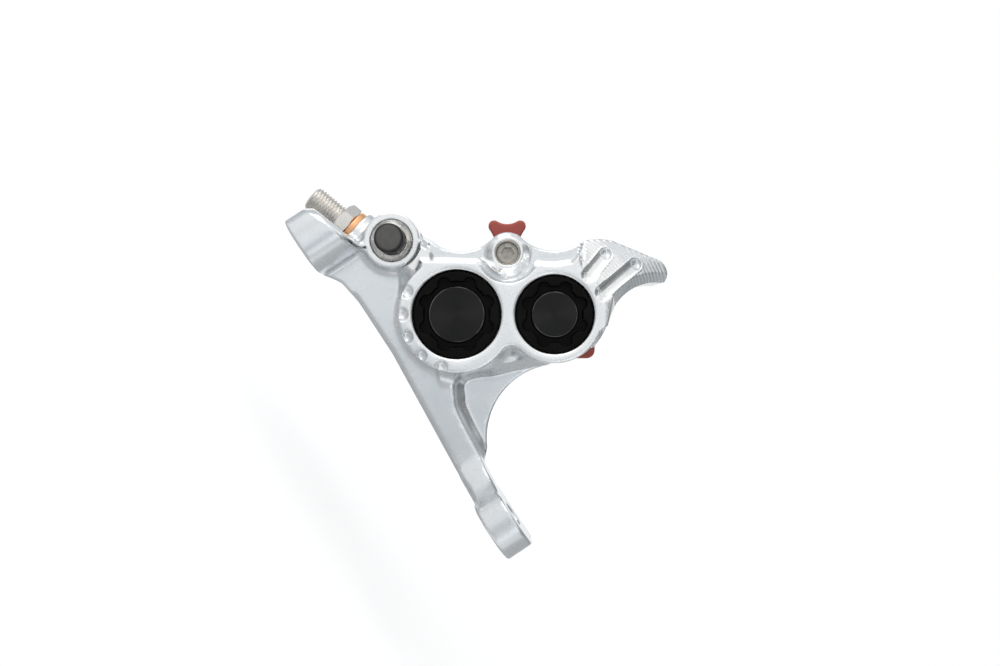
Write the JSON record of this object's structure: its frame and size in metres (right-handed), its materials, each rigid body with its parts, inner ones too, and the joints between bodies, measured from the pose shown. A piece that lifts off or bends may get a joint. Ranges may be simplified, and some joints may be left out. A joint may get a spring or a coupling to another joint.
{
  "type": "disc brake caliper",
  "caption": "Machined bicycle disc brake caliper with opposed pistons, sliding pads, hose connector, bleed nipple and two ears for a flat mount.",
  "frame": {"origin": "midway between the two mounting bolt holes, on the mount face", "axes": "+X along the line of the bolt holes towards the plain ear, +Y inboard towards the rotor, +Z away from the mount face"},
  "size_m": [0.0888, 0.0373, 0.0614],
  "materials": {
    "silver_aluminium": "machined satin",
    "black_aluminium": "turned, anodised",
    "rubber": "matte",
    "piston_steel": "ground",
    "phenolic": "machined",
    "backing_steel": "matte",
    "lining": "rough",
    "spring_steel": "blued",
    "stainless_steel": "turned",
    "copper": "plain",
    "red_plastic": "moulded"
  },
  "bodies": {
    "caliper": {"caliper_body": "silver_aluminium", "bore_cap_large": "black_aluminium", "bore_cap_small": "black_aluminium", "cap_seal_large": "rubber", "cap_seal_small": "rubber", "outer_seal_large": "rubber", "outer_dust_seal_large": "rubber", "outer_seal_small": "rubber", "outer_dust_seal_small": "rubber", "inner_seal_large": "rubber", "inner_dust_seal_large": "rubber", "inner_seal_small": "rubber", "inner_dust_seal_small": "rubber", "pad_spring": "spring_steel", "pin_clip": "spring_steel", "pad_pin": "stainless_steel", "hose_connector": "stainless_steel", "copper_washer": "copper"},
    "outer_pad": {"outer_pad_plate": "backing_steel", "outer_pad_lining": "lining"},
    "inner_pad": {"inner_pad_plate": "backing_steel", "inner_pad_lining": "lining"},
    "outer_large_piston": {"outer_piston_large": "piston_steel", "outer_insert_large": "phenolic"},
    "outer_small_piston": {"outer_piston_small": "piston_steel", "outer_insert_small": "phenolic"},
    "inner_large_piston": {"inner_piston_large": "piston_steel", "inner_insert_large": "phenolic"},
    "inner_small_piston": {"inner_piston_small": "piston_steel", "inner_insert_small": "phenolic"},
    "spacer": {"transport_spacer": "red_plastic"},
    "nipple": {"bleed_nipple": "stainless_steel"},
    "dust_cap": {"nipple_cap": "rubber"}
  },
  "joints": [
    {"name": "outer_pad_slide", "type": "slide", "parent": "caliper", "child": "outer_pad", "axis": [0, 1, 0], "range_m": [0, 0.0005], "deforming": ["pad_spring"]},
    {"name": "inner_pad_slide", "type": "slide", "parent": "caliper", "child": "inner_pad", "axis": [0, -1, 0], "range_m": [0, 0.0005]},
    {"name": "outer_large_piston_slide", "type": "slide", "parent": "caliper", "child": "outer_large_piston", "axis": [0, 1, 0], "range_m": [0, 0.0005]},
    {"name": "outer_small_piston_slide", "type": "slide", "parent": "caliper", "child": "outer_small_piston", "axis": [0, 1, 0], "range_m": [0, 0.0005]},
    {"name": "inner_large_piston_slide", "type": "slide", "parent": "caliper", "child": "inner_large_piston", "axis": [0, -1, 0], "range_m": [0, 0.0005]},
    {"name": "inner_small_piston_slide", "type": "slide", "parent": "caliper", "child": "inner_small_piston", "axis": [0, -1, 0], "range_m": [0, 0.0005]},
    {"name": "spacer_pull", "type": "slide", "parent": "caliper", "child": "spacer", "axis": [-0.8339, 0, 0.5519], "range_m": [0, 0.034]},
    {"name": "nipple_turn", "type": "hinge", "parent": "caliper", "child": "nipple", "pos_m": [-0.02704, 0.0143, 0.0162], "axis": [0, -1, 0], "range_deg": [0, 180]},
    {"name": "cap_pull", "type": "slide", "parent": "nipple", "child": "dust_cap", "axis": [0, -1, 0], "range_m": [0, 0.012]}
  ],
  "couplings": [
    {"joint": "inner_pad_slide", "follows": "outer_pad_slide", "ratio": 1},
    {"joint": "outer_large_piston_slide", "follows": "outer_pad_slide", "ratio": 1},
    {"joint": "outer_small_piston_slide", "follows": "outer_pad_slide", "ratio": 1},
    {"joint": "inner_large_piston_slide", "follows": "outer_pad_slide", "ratio": 1},
    {"joint": "inner_small_piston_slide", "follows": "outer_pad_slide", "ratio": 1}
  ]
}
